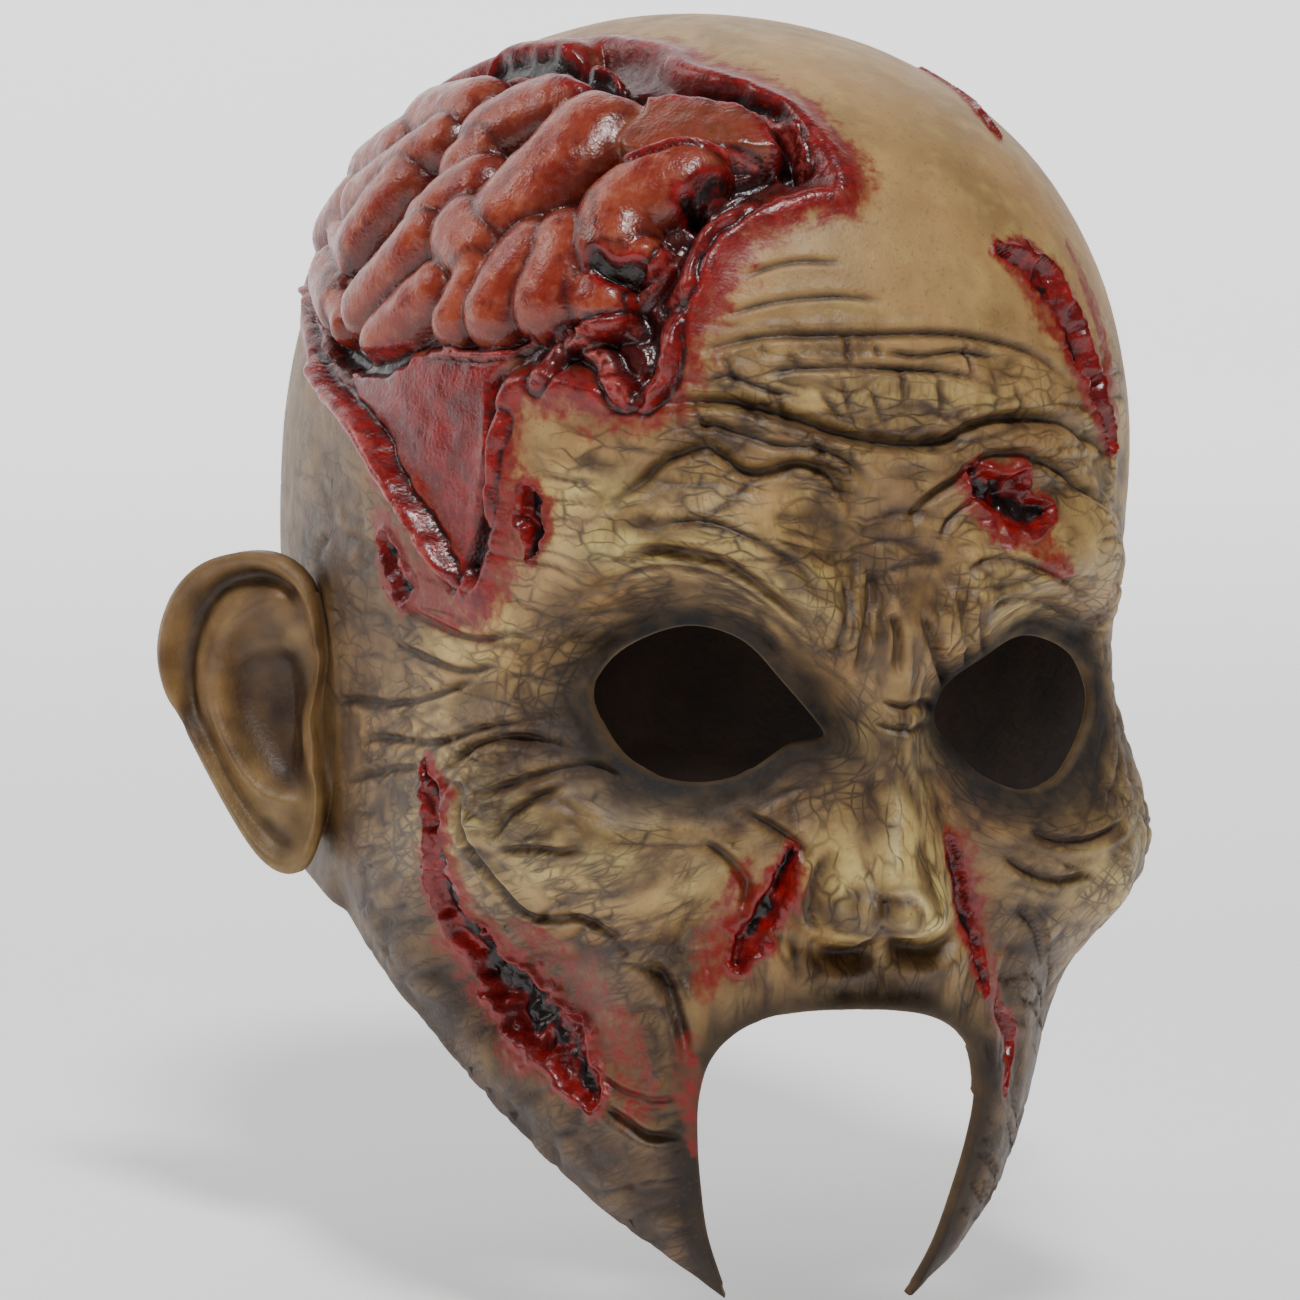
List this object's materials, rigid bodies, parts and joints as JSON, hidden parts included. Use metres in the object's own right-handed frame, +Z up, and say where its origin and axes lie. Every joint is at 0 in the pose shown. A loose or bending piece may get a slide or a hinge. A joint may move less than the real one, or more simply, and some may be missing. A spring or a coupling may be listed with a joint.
{
  "type": "zombie mask",
  "caption": "Over-the-head latex mask of a wrinkled, torn face with open eye holes, an open mouth and chin, cast ears and an exposed brain.",
  "frame": {"origin": "the top of the crown; the wearer's head bears on its inside, one 2.4 mm wall below", "axes": "+Z up through the crown, -Y the way the face looks, +X to the wearer's left"},
  "size_m": [0.2058, 0.2225, 0.2381],
  "materials": {
    "painted_latex": "satin"
  },
  "bodies": {
    "root": {"latex_skin": "painted_latex"}
  },
  "joints": []
}
